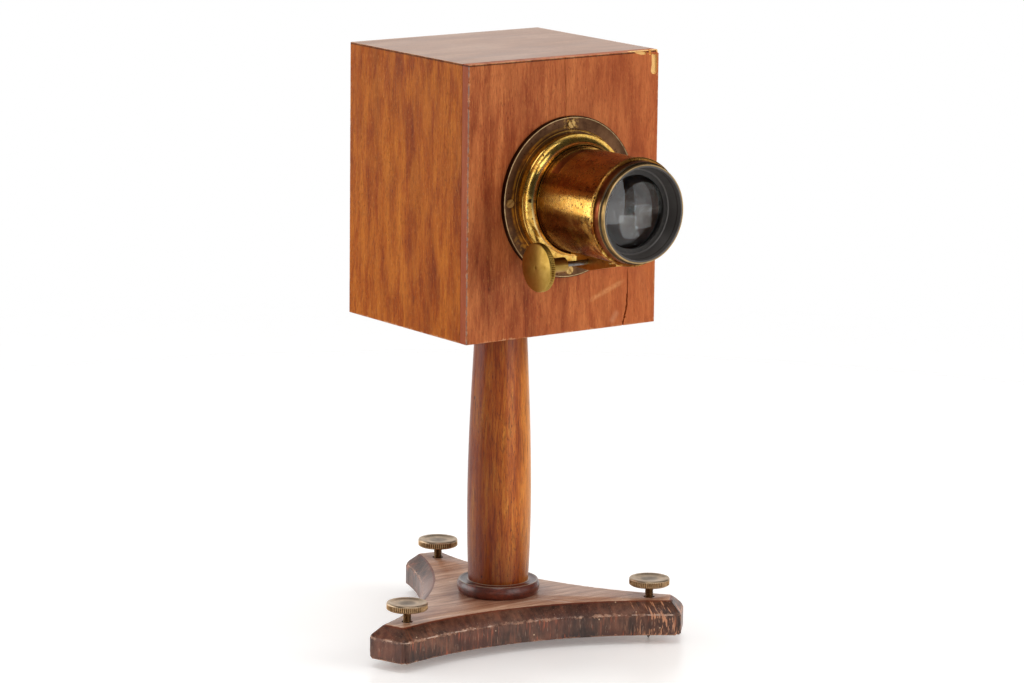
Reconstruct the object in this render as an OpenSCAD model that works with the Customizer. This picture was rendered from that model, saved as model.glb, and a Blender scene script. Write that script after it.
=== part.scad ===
// View camera: a wooden box camera with a portrait lens, on a turned column
// and a three-armed base with levelling screws.
// +Z is up and the lens looks along -Y. The origin is on the column's axis,
// at the underside of the base.

/* [Box] */
// Width of the box, side to side
box_w = 126; // [116:1:150]
// Depth of the box, front to back
box_d = 112; // [100:1:140]
// Height of the box
box_h = 150; // [140:1:180]
// Thickness of the mitred side, top and bottom boards
board_t = 8; // [7.5:0.5:9]
// Thickness of the front board
front_t = 6; // [5:0.5:8]

/* [Stand] */
// Thickness of the base
base_t = 18.5; // [17:0.5:22]
// Height of the column, from the base to the box
column_h = 155.5; // [120:0.5:200]
// Radius of the column at the box
column_top_r = 14.2; // [12:0.1:15]
// Largest radius of the column
column_max_r = 17.7; // [17:0.1:19]
// Direction of the first arm, seen from above
arm_turn = 78.6; // [0:0.1:119.9]
// Length of an arm at its top edge
arm_len = 96; // [92:1:110]
// Half the width of the base between two arms, at the top edge
waist = 37; // [30:1:45]
// Width of the chamfer round the top of the base
base_chamfer = 6.8; // [4:0.2:8]

/* [Levelling screws] */
// Distance of a levelling screw from the column's axis
screw_pcr = 84.25; // [80:0.25:86]
// Radius of the screw's head
head_r = 11.2; // [9:0.1:13]
// Radius of the threaded shank
shank_r = 2.35; // [2:0.05:3]
// Height of the head's underside above the base
head_gap = 6; // [5.8:0.1:8]
// How far the points reach below the base
point_drop = 5; // [4:0.5:6]

/* [Lens] */
// Sideways offset of the lens axis
lens_x = 2.5; // [-4:0.5:4]
// Height of the lens axis above the box's underside
lens_up = 74.6; // [70:0.1:90]
// Radius of the flange
flange_r = 43.8; // [42:0.1:48]
// Outer radius of the jacket tube
jacket_r = 28.4; // [28.3:0.1:28.5]
// How far the jacket reaches in front of the box
jacket_len = 60.5; // [58:0.5:64]
// How far the moving tube stands out of the jacket
tube_out = 3.5; // [3:0.5:5]
// Radius of the focusing knob
knob_r = 13.2; // [10:0.1:15]

/* [Hidden] */
$fn = 96;

// Running clearances
run = 0.05;
side_gap = 0.3;

// Heights
box_z = base_t + column_h;
box_top = box_z + box_h;
lens_z = box_z + lens_up;
front_y = -box_d / 2;
back_y = box_d / 2;
inner_w = box_w - 2 * board_t;
inner_h = box_h - 2 * board_t;
mid_z = box_z + box_h / 2;

// Base
arc_r = 200;
arms = [for (k = [0:2]) arm_turn + 120 * k];
lower_len = arm_len + base_chamfer;
end_offset = 0.35;
bush_r = 5.5;
bush_h = 12;
point_r = 1.2;
point_tip_r = 0.35;
pivot_r = 5;
pivot_head_r = 11;
pivot_head_t = 3;
counterbore = 4;
pivot_thread_r = 4;
pin_hole_x = 7;
pivot_top = base_t + 18;

// Column and its foot ring
ring_h = 7.5;
ring_bead_r = 5.9;
ring_bead_z = 4.1;
ring_r = 23;
spigot_r = 16;
foot_r = 16.65;
swell_s = 104;
tenon_r = 9;
column_screw_r = 2.5;
washer_t = 1.5;
pivot_bush_r = 7.5;
pivot_bush_h = 22;

// Rear screen frame
door_t = 10;
door_w = inner_w - 2 * side_gap;
door_h = inner_h - 2 * side_gap;
screen_w = 92;
screen_h = 116;
window_w = 84;
window_h = 108;
screen_t = 2;
rebate = 3.2;
stop_s = 5;
clip_places = [for (x = [-1, 1], z = [-1, 1]) [x, z]];
clip_x = 49.5;
clip_z = 40;
clip_w = 9;
clip_h = 6.6;
clip_t = 0.8;
pilot_r = 0.8;
pull_x = -inner_w / 2 + 7;
pull_z = -30;
pull_screw_r = 1.3;

// Hinges and catch
knuckle_r = 2;
hinge_pin_r = 1;
leaf_t = 1.2;
hinge_h = 24;
hinge_x = inner_w / 2;
hinge_y = back_y + knuckle_r;
hinge_zs = [mid_z - 42, mid_z + 42];
leaf_screw_zs = [-8, 8];
box_screw_x = 5;
door_screw_x = 6;
button_x = -box_w / 2 + 5.8;
button_w = 4.8;
button_len = 15;
button_t = 2;
button_screw_r = 1.3;

// Lens: distances u are measured forward from the box's front face
flange_t = 2.5;
step_r = 36;
thread_r = 31;
board_hole_r = 32;
flange_screw_r = 39.7;
flange_screw_head = 2.5;
wood_screw_r = 1.5;
collar_r = 34.9;
collar_u = 7.3;
cove_r = 4.2;
lip_r = 29.7;
lip_u = 12.1;
bead_r = 0.8;
tube_r = 27.5;
tube_bore = 26.2;
tube_back = -12;
jacket_bore = tube_r + run;
tube_front = jacket_len + tube_out;
slot_u = [15.5, 22.5];
slot_half = 53.5;

// Rack and pinion
module_mm = 0.5;
teeth = 12;
pitch_r = module_mm * teeth / 2;
addendum = 0.4;
dedendum = 0.5;
pitch_mm = PI * module_mm;
pressure = 20;
base_r = pitch_r * cos(pressure);
tip_r = pitch_r + addendum;
root_r = pitch_r - dedendum;
backlash = 3;
pinion_u = 23.3;
pinion_drop = 31.8;
pinion_shaft_r = 1.4;
rack_line = pinion_drop - pitch_r;
rack_u = [0.5, 28];
rack_half = 1.9;
groove_half = 2.3;
groove_r = rack_line + addendum + 0.4;
housing_half = 4;
housing_u = [14, 50];
housing_drop = 35.9;
saddle_half = 7.4;
saddle_t = 0.9;
saddle_angle = 11;
saddle_screw_r = 0.6;
chamber_r = pitch_r + addendum + 0.3;
knob_face = 37.1;
knob_t = 3.2;
hub_r = 4;
hub_end = 18.5;

// Front cell and glasses
rim_r = 26.4;
rim_bore = 24.8;
cell_back = 48;
cell_front = tube_front + 3.6;
seat_u = 49.5;
glass_r = 22.25;
glass_seat = 22.3;
ring_u = [57.2, 59];
ring_bore = 19.8;
shoulder_r = 20.5;
rear_shoulder_u = 0.5;
crown_r = 75;
sag = crown_r - sqrt(crown_r * crown_r - ring_bore * ring_bore);
front_vertex = ring_u[0] + sag;
cement_vertex = 51.5;
rear_curve_r = 90;
rear_back_r = 120;

box_wood = "#a8562b";
top_wood = "#9c6a4c";
column_wood = "#7a3b22";
base_wood = "#8a5f4a";
dark_wood = "#3c1f1a";
brass = "#c9a044";
dark_brass = "#5a4634";
dull_brass = "#8f7350";
lacquer = "#7c4a1c";
steel = "#6c6c70";
glass = "#a9b6b8";

// Places its children on the lens axis: local z runs forward from the box's
// front face, local y is up.
module on_lens_axis() {
    translate([lens_x, front_y, lens_z]) rotate([90, 0, 0]) children();
}

// Places its children at a levelling screw
module at_arm(k, r = screw_pcr) {
    rotate([0, 0, arms[k]]) translate([r, 0, 0]) children();
}

// A ring or tube between two heights
module tube(r_out, r_in, z0, z1) {
    translate([0, 0, z0]) difference() {
        cylinder(r = r_out, h = z1 - z0);
        translate([0, 0, -1]) cylinder(r = r_in, h = z1 - z0 + 2);
    }
}

// A rod between two heights
module rod(r, z0, z1) {
    translate([0, 0, z0]) cylinder(r = r, h = z1 - z0);
}

// A slotted screw that stands on z = 0 with its shank below
module slotted_screw(head, head_t, shank, depth) {
    difference() {
        union() {
            cylinder(r1 = head, r2 = head * 0.9, h = head_t);
            rod(shank, -depth, 0);
        }
        translate([-head, -head * 0.12, head_t * 0.5]) cube([2 * head, head * 0.24, head_t]);
    }
}

// ---- Stand ----

// The base's outline is a triangle hollowed on three sides by round cutters,
// which widen in a cone at the top to leave the chamfer.
module side_cutter() {
    low_r = arc_r - base_chamfer;
    translate([waist + arc_r, 0, 0]) rotate_extrude($fn = 180) polygon([[0, -1], [low_r, -1],
        [low_r, base_t - base_chamfer], [arc_r + 2, base_t + 2], [0, base_t + 2]]);
}

// Takes the chamfer off the end of an arm that lies along x
module end_cutter() {
    lift = 5;
    translate([arm_len + end_offset - lift, -40, base_t + lift]) rotate([0, 45, 0]) cube([30, 80, 30]);
}

module base_plate() color(base_wood) difference() {
    rotate([0, 0, arm_turn + 60]) linear_extrude(base_t) circle(r = 2 * lower_len, $fn = 3);
    for (a = arms) {
        rotate([0, 0, a + 60]) side_cutter();
        rotate([0, 0, a]) end_cutter();
    }
    for (k = [0:2]) at_arm(k) {
        rod(bush_r, -1, bush_h);
        rod(shank_r + 0.25, 0, base_t + 1);
    }
    rod(pivot_head_r + side_gap, -1, counterbore);
    rod(pivot_r + run, 0, base_t + 1);
}

module screw_bushes() color(brass) for (k = [0:2]) at_arm(k) tube(bush_r, shank_r + run, 0, bush_h);

module levelling_screw(k) {
    under = base_t + head_gap;
    top = under + 5;
    point_bore = 7;
    end_z = -0.9;
    color(dull_brass) at_arm(k) difference() {
        union() {
            rod(shank_r, end_z, under + 0.1);
            rotate_extrude() polygon([[0, under], [shank_r + 0.4, under], [head_r - 0.9, under + 0.8],
                [head_r, under + 1.4], [head_r, top - 0.6], [head_r - 0.6, top], [head_r - 1.6, top],
                [head_r - 3, top - 0.9], [0, top - 1.1]]);
        }
        rod(point_r + run, end_z - 1, end_z + point_bore);
    }
}
module levelling_screw_1() levelling_screw(0);
module levelling_screw_2() levelling_screw(1);
module levelling_screw_3() levelling_screw(2);

module screw_point(k) color(steel) at_arm(k) {
    rod(point_r, -1, 5.5);
    translate([0, 0, -point_drop]) cylinder(r1 = point_tip_r, r2 = shank_r - 0.15, h = point_drop - 1);
}
module screw_point_1() screw_point(0);
module screw_point_2() screw_point(1);
module screw_point_3() screw_point(2);

module pivot_screw() color(brass) difference() {
    union() {
        rod(pivot_head_r, 0, pivot_head_t);
        rod(pivot_r, 0, base_t + 0.05);
        rod(pivot_thread_r, 0, pivot_top);
    }
    for (s = [-1, 1]) translate([s * pin_hole_x, 0, -1]) cylinder(r = 1.2, h = 3);
}

module pivot_washer() color(steel) tube(pivot_head_r - 0.5, pivot_r + 0.15, pivot_head_t + 0.05, counterbore);

module pivot_bush() color(brass)
    tube(pivot_bush_r, pivot_thread_r, base_t + 0.05, base_t + pivot_bush_h);

module foot_ring() color(dark_wood) translate([0, 0, base_t]) difference() {
    rotate_extrude() intersection() {
        translate([ring_r - ring_bead_r, ring_bead_z]) circle(r = ring_bead_r);
        square([ring_r, ring_h]);
    }
    rod(spigot_r, -1, ring_h + 1);
}

// Radius of the column at a distance below the box
function column_r(s) = s < swell_s
    ? column_top_r + (column_max_r - column_top_r) * sin(90 * pow(s / swell_s, 1.12))
    : column_max_r - (column_max_r - foot_r) * pow((s - swell_s) / (column_h - ring_h - swell_s), 2);

module column() {
    shaft_h = column_h - ring_h;
    steps = 22;
    color(column_wood) difference() {
        union() {
            translate([0, 0, box_z]) rotate_extrude() polygon(concat(
                [[0, -shaft_h]],
                [for (i = [0:steps]) let (s = shaft_h * (1 - i / steps)) [column_r(s), -s]],
                [[0, 0]]));
            rod(spigot_r, base_t, base_t + ring_h + 0.1);
            rod(tenon_r, box_z - 0.1, box_z + board_t);
        }
        rod(pivot_bush_r, base_t - 1, base_t + pivot_bush_h);
        rod(column_screw_r, box_z + board_t - 30, box_z + board_t + 1);
    }
}

module column_screw() color(steel) translate([0, 0, box_z + board_t + washer_t])
    slotted_screw(5, 2.6, column_screw_r, 31);

module column_washer() color(brass)
    tube(14, column_screw_r + 0.1, box_z + board_t, box_z + board_t + washer_t);

// ---- Box ----

// A board of the mitred carcass, lying under z = 0 and as wide as the box
module mitred_board(w) {
    translate([0, back_y, 0]) rotate([90, 0, 0]) linear_extrude(box_d - front_t)
        polygon([[-w / 2, 0], [w / 2, 0], [w / 2 - board_t, -board_t], [-w / 2 + board_t, -board_t]]);
}

module top_board() color(top_wood) translate([0, 0, box_top]) mitred_board(box_w);

module bottom_board() color(box_wood) difference() {
    translate([0, 0, box_z]) rotate([0, 180, 0]) mitred_board(box_w);
    rod(tenon_r, box_z - 1, box_z + board_t + 1);
}

module left_board() color(box_wood) difference() {
    translate([-box_w / 2, 0, mid_z]) rotate([0, -90, 0]) mitred_board(box_h);
    translate([button_x, back_y, mid_z]) rotate([-90, 0, 0]) rod(button_screw_r, -8, 1);
}

module right_board() color(box_wood) difference() {
    translate([box_w / 2, 0, mid_z]) rotate([0, 90, 0]) mitred_board(box_h);
    for (z = hinge_zs, s = leaf_screw_zs)
        translate([hinge_x + box_screw_x, back_y, z + s]) rotate([-90, 0, 0]) rod(pilot_r, -7, 1);
}

module front_board() color(box_wood) difference() {
    translate([-box_w / 2, front_y, box_z]) cube([box_w, front_t, box_h]);
    on_lens_axis() {
        rod(board_hole_r, -front_t - 1, 1);
        flange_screw_places() rod(wood_screw_r, -5, 1);
    }
}

// Strips inside the box that the rear frame closes against
module stop_frame() color(dark_wood) translate([0, back_y - door_t - side_gap - stop_s, mid_z]) difference() {
    translate([-inner_w / 2, 0, -inner_h / 2]) cube([inner_w, stop_s, inner_h]);
    translate([-inner_w / 2 + stop_s, -1, -inner_h / 2 + stop_s])
        cube([inner_w - 2 * stop_s, stop_s + 2, inner_h - 2 * stop_s]);
}

// ---- Rear screen frame ----

// A box centred on x and z, from one y to another
module slab(w, h, y0, y1) {
    translate([-w / 2, y0, -h / 2]) cube([w, y1 - y0, h]);
}

module screen_frame() color(box_wood) translate([0, back_y - door_t, mid_z]) difference() {
    slab(door_w, door_h, 0, door_t);
    slab(window_w, window_h, -1, door_t + 1);
    slab(screen_w, screen_h, -1, rebate + screen_t);
    for (p = clip_places)
        translate([p[0] * clip_x, 0, p[1] * clip_z]) rotate([-90, 0, 0]) rod(pilot_r, 2, 7);
    for (p = clip_places) translate([p[0] * screen_w / 2, -1, p[1] * clip_z]) clip_recess(p[0]);
    for (z = hinge_zs, s = leaf_screw_zs)
        translate([hinge_x - door_screw_x, door_t, z - mid_z + s]) rotate([-90, 0, 0]) rod(pilot_r, -7, 1);
    translate([pull_x, door_t, pull_z]) rotate([-90, 0, 0]) rod(pull_screw_r, -7, 1);
}

// The sunk place of one clip in the frame, towards the frame's outer edge
module clip_recess(side) {
    recess_w = 6.5;
    recess_h = clip_h + 0.4;
    translate([side < 0 ? -recess_w : 0, 0, -recess_h / 2]) cube([recess_w, rebate + clip_t, recess_h]);
}

module focusing_screen() color(glass, 0.6) translate([0, back_y - door_t, mid_z])
    slab(screen_w, screen_h, rebate, rebate + screen_t);

module screen_clips() color(brass) translate([0, back_y - door_t, mid_z]) for (p = clip_places)
    translate([p[0] * (clip_x - 1.5), 0, p[1] * clip_z]) difference() {
        slab(clip_w, clip_h, rebate - 0.2 - clip_t, rebate - 0.2);
        translate([p[0] * 1.5, 0, 0]) rotate([-90, 0, 0]) rod(pilot_r, 0, rebate + 1);
    }

module clip_screws() color(brass) translate([0, back_y - door_t + rebate - 0.2 - clip_t, mid_z])
    for (p = clip_places) translate([p[0] * clip_x, 0, p[1] * clip_z]) rotate([90, 0, 0])
        slotted_screw(1.5, 0.8, pilot_r, 4.5);

module door_pull() color(brass) translate([pull_x, back_y, mid_z + pull_z]) rotate([-90, 0, 0]) {
    rod(pull_screw_r, -7, 0);
    rotate_extrude() polygon([[0, 0], [3.6, 0], [3.6, 0.8], [1.8, 1.6], [1.8, 4], [4, 5.6],
        [4.4, 7.2], [3.4, 8.6], [0, 9]]);
}

// ---- Hinges and catch ----

// One hinge's leaf: side is 1 for the box's leaf and -1 for the frame's
module hinge_leaf(side, knuckles, bore, w, screw_x) {
    difference() {
        union() {
            translate([side < 0 ? -w : knuckle_r + 0.4, -knuckle_r, -hinge_h / 2])
                cube([w - knuckle_r - 0.4, leaf_t, hinge_h]);
            for (k = knuckles) {
                rod(knuckle_r, k[0], k[1]);
                translate([side < 0 ? -knuckle_r - 0.5 : 0, -knuckle_r, k[0]])
                    cube([knuckle_r + 0.5, leaf_t, k[1] - k[0]]);
            }
        }
        rod(bore, -hinge_h, hinge_h);
        for (s = leaf_screw_zs) translate([side * screw_x, 0, s]) rotate([90, 0, 0]) rod(pilot_r, 0, 3);
    }
}

module hinge_leaves_box() color(brass) for (z = hinge_zs) translate([hinge_x, hinge_y, z])
    hinge_leaf(1, [[-12, -4.2], [4.2, 12]], hinge_pin_r, 7.4, box_screw_x);

module hinge_leaves_door() color(brass) for (z = hinge_zs) translate([hinge_x, hinge_y, z])
    hinge_leaf(-1, [[-4, 4]], hinge_pin_r + run, 9, door_screw_x);

module hinge_pins() color(steel) for (z = hinge_zs) translate([hinge_x, hinge_y, z])
    rod(hinge_pin_r, -12.5, 12.5);

module leaf_screws(x) {
    for (z = hinge_zs, s = leaf_screw_zs) translate([x, back_y + leaf_t, z + s])
        rotate([-90, 0, 0]) slotted_screw(1.4, 0.5, pilot_r, 7);
}
module hinge_screws_box() color(brass) leaf_screws(hinge_x + box_screw_x);
module hinge_screws_door() color(brass) leaf_screws(hinge_x - door_screw_x);

// A flat catch that turns over the frame's edge; it hangs clear of it here
module turn_button() color(brass) translate([button_x, back_y + side_gap, mid_z]) rotate([-90, 0, 0])
    difference() {
        union() {
            rod(button_w / 2, 0, button_t);
            translate([-button_w / 2, 0, 0]) cube([button_w, button_len - button_w / 2, button_t]);
            translate([0, button_len - button_w / 2, 0]) cylinder(r = button_w / 2, h = button_t);
        }
        rod(button_screw_r + run, -1, button_t + 1);
    }

module button_screw() color(brass) translate([button_x, back_y + side_gap + button_t + run, mid_z])
    rotate([-90, 0, 0]) slotted_screw(2.2, 1.3, button_screw_r, 10);

// ---- Lens: fixed parts ----

module flange_screw_places() {
    for (a = [0, 90, 180, 270]) rotate([0, 0, a]) translate([flange_screw_r, 0, 0]) children();
}

module flange() color(dark_brass) on_lens_axis() difference() {
    rotate_extrude() polygon([[thread_r, 0], [flange_r, 0], [flange_r, flange_t - 0.4],
        [flange_r - 0.4, flange_t], [step_r + 0.4, flange_t], [step_r, flange_t - 0.4],
        [thread_r, flange_t - 0.4]]);
    flange_screw_places() rod(wood_screw_r, -1, flange_t + 1);
}

module flange_screws() color(dull_brass) on_lens_axis() flange_screw_places()
    translate([0, 0, flange_t]) rotate([0, 0, 35]) slotted_screw(flange_screw_head, 0.8, wood_screw_r, 7.5);

// Tube, collar with its cove, and the bead at the mouth
module jacket_profile() {
    seat = flange_t - 0.4;
    difference() {
        polygon([[jacket_bore, -5], [thread_r, -5], [thread_r, seat], [collar_r - 0.3, seat],
            [collar_r - 0.3, 5.6], [collar_r - 0.7, 5.8], [collar_r, 6.2], [collar_r, 7],
            [collar_r - 0.3, collar_u], [lip_r + cove_r, collar_u], [lip_r + cove_r, collar_u + cove_r],
            [lip_r, collar_u + cove_r], [lip_r, lip_u], [jacket_r, lip_u], [jacket_r, jacket_len],
            [jacket_bore, jacket_len]]);
        translate([lip_r + cove_r, collar_u + cove_r]) circle(r = cove_r);
    }
    intersection() {
        translate([jacket_r, jacket_len - bead_r]) circle(r = bead_r);
        translate([jacket_r - 0.2, jacket_len - 3]) square([3, 4]);
    }
}

module jacket() color(lacquer) on_lens_axis() difference() {
    rotate_extrude() jacket_profile();
    rotate([0, 0, 90 - slot_half]) translate([0, 0, slot_u[0]])
        rotate_extrude(angle = 2 * slot_half) translate([jacket_bore - 1, 0])
            square([4, slot_u[1] - slot_u[0]]);
    translate([-groove_half, -groove_r, -6])
        cube([2 * groove_half, groove_r - tube_bore, housing_u[1] + 5]);
    saddle_screw_places() rod(saddle_screw_r, -3, 1);
}

// The saddle's screws, each pointing out from the jacket
module saddle_screw_places() {
    for (s = [-1, 1], u = [housing_u[0] + 3.5, housing_u[1] - 3.5])
        rotate([0, 0, -90 + s * saddle_angle]) translate([jacket_r, 0, u]) rotate([0, 90, 0]) children();
}

module pinion_housing() color(lacquer) on_lens_axis() difference() {
    union() {
        rotate([90, 0, 90]) translate([0, 0, -housing_half]) linear_extrude(2 * housing_half) polygon([
            [-tube_r, housing_u[0] + 0.4], [-housing_drop, housing_u[0] + 0.4], [-housing_drop, pinion_u + 3],
            [-groove_r - 0.8, housing_u[1] - 0.6], [-tube_r, housing_u[1] - 0.6]]);
        intersection() {
            tube(jacket_r + saddle_t, jacket_r - 1, housing_u[0], housing_u[1]);
            translate([-saddle_half, -2 * jacket_r, housing_u[0] - 1])
                cube([2 * saddle_half, 2 * jacket_r, housing_u[1] - housing_u[0] + 2]);
        }
    }
    rod(jacket_r, 0, jacket_len);
    translate([-groove_half, -groove_r, housing_u[0] - 1])
        cube([2 * groove_half, groove_r - tube_r, housing_u[1] - housing_u[0]]);
    translate([0, -pinion_drop, pinion_u]) rotate([0, 90, 0]) {
        rod(chamber_r, -groove_half, groove_half);
        rod(pinion_shaft_r + run, -6, 6);
    }
    saddle_screw_places() rod(saddle_screw_r, -3, 3);
}

module housing_screws() color(dull_brass) on_lens_axis() saddle_screw_places()
    translate([0, 0, saddle_t])
        slotted_screw(1.2, 0.5, saddle_screw_r, saddle_t + jacket_r - jacket_bore - 0.1);

// ---- Rack and pinion ----

// Involute flank points of the pinion's teeth, from the base circle to the tip
function roll(r) = r <= base_r ? 0 : sqrt(r * r / (base_r * base_r) - 1);
function involute(r) = roll(r) * 180 / PI - atan(roll(r));
half_tooth = 90 / teeth + involute(pitch_r) - backlash / 2;
flank = [for (i = [0:4]) max(root_r, base_r) + (tip_r - max(root_r, base_r)) * i / 4];
function tooth(a) = concat(
    [[root_r, a - half_tooth]],
    [for (r = flank) [r, a - half_tooth + involute(r)]],
    [for (i = [4:-1:0]) [flank[i], a + half_tooth - involute(flank[i])]],
    [[root_r, a + half_tooth]]);

module pinion() color(steel) on_lens_axis() translate([0, -pinion_drop, pinion_u]) rotate([0, 90, 0]) {
    translate([0, 0, -rack_half]) linear_extrude(2 * rack_half)
        polygon([for (k = [0:teeth - 1], p = tooth(90 + k * 360 / teeth)) p[0] * [cos(p[1]), sin(p[1])]]);
    rod(pinion_shaft_r, -knob_face + 1, housing_half - 0.2);
}

module focus_knob() color(brass) on_lens_axis() translate([0, -pinion_drop, pinion_u])
    rotate([0, -90, 0]) difference() {
        rotate_extrude() polygon([[0, hub_end], [hub_r - 0.3, hub_end], [hub_r, hub_end + 0.3],
            [hub_r, knob_face - knob_t], [knob_r - 0.3, knob_face - knob_t],
            [knob_r, knob_face - knob_t + 0.3], [knob_r, knob_face - 0.5], [knob_r - 0.5, knob_face],
            [0, knob_face]]);
        rod(pinion_shaft_r, hub_end - 1, knob_face - 1);
    }

// Rack whose teeth leave a space opposite the pinion's top tooth
module rack() {
    valley = -rack_line + dedendum;
    tip = -rack_line - addendum;
    half_root = pitch_mm / 4 + dedendum * tan(pressure);
    half_tip = pitch_mm / 4 - addendum * tan(pressure);
    tooth_us = [for (k = [-14.5:4.5]) let (u = pinion_u + k * pitch_mm)
        if (u - half_root > rack_u[0] && u + half_root < rack_u[1]) u];
    color(brass) on_lens_axis() difference() {
        rotate([90, 0, 90]) translate([0, 0, -rack_half]) linear_extrude(2 * rack_half)
            polygon(concat(
                [[-tube_bore, rack_u[0]], [valley, rack_u[0]]],
                [for (u = tooth_us) each [[valley, u - half_root], [tip, u - half_tip],
                    [tip, u + half_tip], [valley, u + half_root]]],
                [[valley, rack_u[1]], [-tube_bore, rack_u[1]]]));
        rod(tube_r, rack_u[0] - 1, rack_u[1] + 1);
    }
}

// ---- Lens: moving parts ----

module lens_tube() color(lacquer) on_lens_axis() tube(tube_r, tube_bore, tube_back, tube_front);

module front_cell() color(dull_brass) on_lens_axis() rotate_extrude() polygon([
    [shoulder_r, cell_back], [tube_bore, cell_back], [tube_bore, tube_front],
    [tube_r - 0.2, tube_front], [tube_r - 0.2, tube_front + 0.9], [tube_r - 0.9, tube_front + 1.1],
    [tube_r - 1.1, tube_front + 1.7], [rim_r, tube_front + 1.9], [rim_r, cell_front - 0.2],
    [rim_r - 0.2, cell_front], [rim_bore, cell_front], [glass_seat + 0.6, ring_u[1] + 0.4],
    [glass_seat, ring_u[1] + 0.2], [glass_seat, seat_u], [shoulder_r, seat_u]]);

module front_ring() color(dark_brass) on_lens_axis() tube(glass_seat, ring_bore, ring_u[0], ring_u[1]);

// Sphere centred on the axis whose surface crosses the axis at u
module dome(r, u, side) {
    translate([0, 0, u - side * r]) sphere(r = r, $fn = 160);
}

module front_crown() color(glass, 0.5) on_lens_axis() intersection() {
    rod(glass_r, seat_u, front_vertex + 1);
    dome(crown_r, front_vertex, 1);
    dome(crown_r, cement_vertex, -1);
}

module front_flint() color(glass, 0.5) on_lens_axis() difference() {
    rod(glass_r, seat_u, cement_vertex + 3.4);
    dome(crown_r, cement_vertex, -1);
}

module rear_cell() color(dark_brass) on_lens_axis() {
    tube(tube_bore, glass_seat, tube_back, rear_shoulder_u);
    tube(tube_bore, shoulder_r, rear_shoulder_u, rear_shoulder_u + 1.5);
}

module rear_flint() color(glass, 0.5) on_lens_axis() difference() {
    rod(glass_r, rear_shoulder_u - 4, rear_shoulder_u);
    dome(rear_curve_r, rear_shoulder_u - 2.5, 1);
}

module rear_spacer() color(dark_brass) on_lens_axis()
    tube(glass_r, shoulder_r, rear_shoulder_u - 5, rear_shoulder_u - 4);

module rear_crown() color(glass, 0.5) on_lens_axis() intersection() {
    rod(glass_r, rear_shoulder_u - 12, rear_shoulder_u - 2);
    dome(rear_curve_r, rear_shoulder_u - 3, 1);
    dome(rear_back_r, rear_shoulder_u - 10.5, -1);
}

module rear_ring() color(dark_brass) on_lens_axis()
    tube(glass_seat, shoulder_r - 0.5, tube_back, rear_shoulder_u - 11);

base_plate();
screw_bushes();
levelling_screw_1();
levelling_screw_2();
levelling_screw_3();
screw_point_1();
screw_point_2();
screw_point_3();
pivot_screw();
pivot_washer();
pivot_bush();
foot_ring();
column();
column_screw();
column_washer();
bottom_board();
top_board();
left_board();
right_board();
front_board();
stop_frame();
screen_frame();
focusing_screen();
screen_clips();
clip_screws();
door_pull();
hinge_leaves_box();
hinge_leaves_door();
hinge_pins();
hinge_screws_box();
hinge_screws_door();
turn_button();
button_screw();
flange();
flange_screws();
jacket();
pinion_housing();
housing_screws();
pinion();
focus_knob();
rack();
lens_tube();
front_cell();
front_ring();
front_crown();
front_flint();
rear_cell();
rear_flint();
rear_spacer();
rear_crown();
rear_ring();
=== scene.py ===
"""Looks for the view camera: a mahogany box with a brass portrait lens, on a turned column and a
three-armed base. Lengths are in millimetres until they become Blender coordinates. Colours are
8-bit sRGB."""

import math
import random

import bmesh
import bpy
from mathutils import Matrix, Vector, noise


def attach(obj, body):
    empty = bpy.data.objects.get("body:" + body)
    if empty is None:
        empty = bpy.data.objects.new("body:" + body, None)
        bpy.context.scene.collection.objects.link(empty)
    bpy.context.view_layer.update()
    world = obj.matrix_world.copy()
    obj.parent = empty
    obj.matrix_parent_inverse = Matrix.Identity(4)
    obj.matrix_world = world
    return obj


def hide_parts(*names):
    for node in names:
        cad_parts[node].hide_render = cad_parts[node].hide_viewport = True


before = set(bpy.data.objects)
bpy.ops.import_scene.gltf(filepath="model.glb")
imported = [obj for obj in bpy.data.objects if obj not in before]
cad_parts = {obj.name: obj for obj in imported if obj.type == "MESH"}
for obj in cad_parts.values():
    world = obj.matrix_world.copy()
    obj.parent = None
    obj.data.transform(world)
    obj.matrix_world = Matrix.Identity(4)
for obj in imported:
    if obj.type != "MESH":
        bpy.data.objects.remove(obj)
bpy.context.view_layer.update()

MM = 0.001
WHITE = (1, 1, 1, 1)

# The object's main measures, as the CAD model has them
BASE_T = 18.5
CHAMFER = 6.8
SHOULDER_Z = BASE_T - CHAMFER
COLUMN_H = 155.5
RING_H = 7.5
BOX_Z = 174.0
BOX_TOP = 324.0
BOX_HALF_W = 63.0
FRONT_Y = -56.0
BACK_Y = 56.0
BOARD_T = 8.0
INNER_HALF_W = 55.0
INNER_Y = (-50.0, 46.0)
INNER_Z = (182.0, 316.0)
LENS_X = 2.5
LENS_Z = 248.6
FLANGE_R = 43.8
STEP_R = 36.0
COLLAR_FRONT = FRONT_Y - 12
SLOT_U = (15.5, 22.5)
PINION_U = 23.3
PINION_DROP = 31.8
KNOB_R = 13.2
KNOB_FACE = 37.1
HEAD_R = 11.2
HEAD_Z = BASE_T + 6
HEAD_TOP = BASE_T + 11
SCREW_PCR = 84.25
ARM_TURN = 78.6
FLOOR_Z = -5.0

# Local z runs forward along the lens axis from the box's front, local y is up
LENS_AXIS = Matrix.Translation((LENS_X, FRONT_Y, LENS_Z)) @ Matrix.Rotation(math.pi / 2, 4, "X")
# Local z runs along the pinion's shaft to the knob, on the left
KNOB_PLACE = Vector((LENS_X, FRONT_Y - PINION_U, LENS_Z - PINION_DROP))
KNOB_AXIS = Matrix.Translation(KNOB_PLACE) @ Matrix.Rotation(-math.pi / 2, 4, "Y")


def screw_place(number):
    """Where a levelling screw's axis meets the base, in x and y."""
    angle = math.radians(ARM_TURN + 120 * (number - 1))
    return SCREW_PCR * math.cos(angle), SCREW_PCR * math.sin(angle)


# ---- Materials ----

ALONG_X, ALONG_Z = 0, 2

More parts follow.
